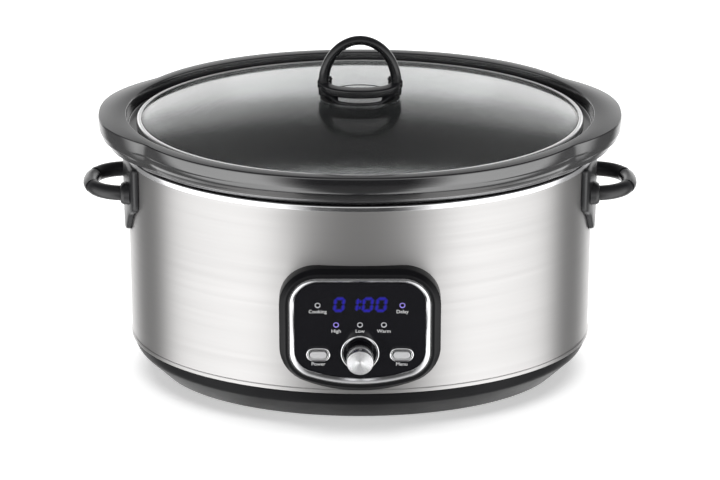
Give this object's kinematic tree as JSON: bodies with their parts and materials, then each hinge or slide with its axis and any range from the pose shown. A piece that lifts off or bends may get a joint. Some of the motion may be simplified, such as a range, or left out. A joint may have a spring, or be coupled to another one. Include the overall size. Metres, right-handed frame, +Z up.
{
  "type": "slow cooker",
  "caption": "Oval slow cooker with a brushed steel housing on a black base, side handles, lift-out dark crock, domed glass lid, and a front panel with display, knob and buttons.",
  "frame": {"origin": "on the ground under the centre of the whole cooker's box, from knob front to crock rim", "axes": "+Z up, +X to the cooker's right as its front is faced, -Y out of the front panel"},
  "size_m": [0.4334, 0.2816, 0.2797],
  "materials": {
    "base_plastic": "satin",
    "cover_plastic": "matte",
    "foot_rubber": "matte",
    "wall_steel": "satin",
    "liner_metal": "satin",
    "screw_steel": "satin",
    "heater_foil": "satin",
    "handle_plastic": "satin",
    "bezel_plastic": "gloss",
    "chrome": "polished",
    "face_gloss": "polished",
    "display": "gloss",
    "indicator": "gloss",
    "knob_aluminium": "satin",
    "board": "satin",
    "component": "satin",
    "glaze": "gloss",
    "glass": "polished",
    "bright_steel": "polished",
    "lid_handle_plastic": "gloss"
  },
  "bodies": {
    "housing": {"base_skirt": "base_plastic", "cord_bush": "base_plastic", "bottom_cover": "cover_plastic", "foot_1": "foot_rubber", "foot_2": "foot_rubber", "foot_3": "foot_rubber", "foot_4": "foot_rubber", "housing_wall": "wall_steel", "inner_liner": "liner_metal", "cover_screw_1": "screw_steel", "cover_screw_2": "screw_steel", "cover_screw_3": "screw_steel", "cover_screw_4": "screw_steel", "handle_screw_left_1": "screw_steel", "handle_screw_left_2": "screw_steel", "handle_screw_right_1": "screw_steel", "handle_screw_right_2": "screw_steel", "centre_stud": "screw_steel", "strap_nut": "screw_steel", "base_strap": "screw_steel", "heater_band": "heater_foil", "side_handle_left": "handle_plastic", "side_handle_right": "handle_plastic", "panel_bezel": "bezel_plastic", "panel_trim": "chrome", "knob_ring": "chrome", "power_button_ring": "chrome", "menu_button_ring": "chrome", "panel_face": "face_gloss", "display_module": "display", "indicator_cooking": "indicator", "indicator_delay": "indicator", "indicator_high": "indicator", "indicator_low": "indicator", "indicator_warm": "indicator", "power_board": "board", "control_board": "board", "relay": "component", "capacitor": "component", "terminal_block": "component", "thermal_cutout": "component", "temperature_sensor": "component", "encoder_body": "component", "power_switch": "component", "menu_switch": "component"},
    "crock": {"crock": "glaze"},
    "lid": {"lid_glass": "glass", "lid_rim": "bright_steel", "lid_handle": "lid_handle_plastic", "lid_handle_gasket": "foot_rubber", "lid_handle_screw_left": "screw_steel", "lid_handle_screw_right": "screw_steel"},
    "knob": {"knob": "knob_aluminium", "knob_skirt": "bezel_plastic", "encoder_shaft": "screw_steel"},
    "power_button": {"power_button": "chrome"},
    "menu_button": {"menu_button": "chrome"}
  },
  "joints": [
    {"name": "crock_lift", "type": "slide", "parent": "housing", "child": "crock", "axis": [0, 0, 1], "range_m": [0, 0.17]},
    {"name": "lid_lift", "type": "slide", "parent": "crock", "child": "lid", "axis": [0, 0, 1], "range_m": [0, 0.12]},
    {"name": "knob_turn", "type": "hinge", "parent": "housing", "child": "knob", "pos_m": [0, -0.12, 0.0713], "axis": [0, -1, 0], "continuous": true},
    {"name": "power_button_press", "type": "slide", "parent": "housing", "child": "power_button", "axis": [0, 1, 0], "range_m": [0, 0.0008], "stiffness_N_per_m": 400, "springref_m": -0.0005},
    {"name": "menu_button_press", "type": "slide", "parent": "housing", "child": "menu_button", "axis": [0, 1, 0], "range_m": [0, 0.0008], "stiffness_N_per_m": 400, "springref_m": -0.0005}
  ]
}
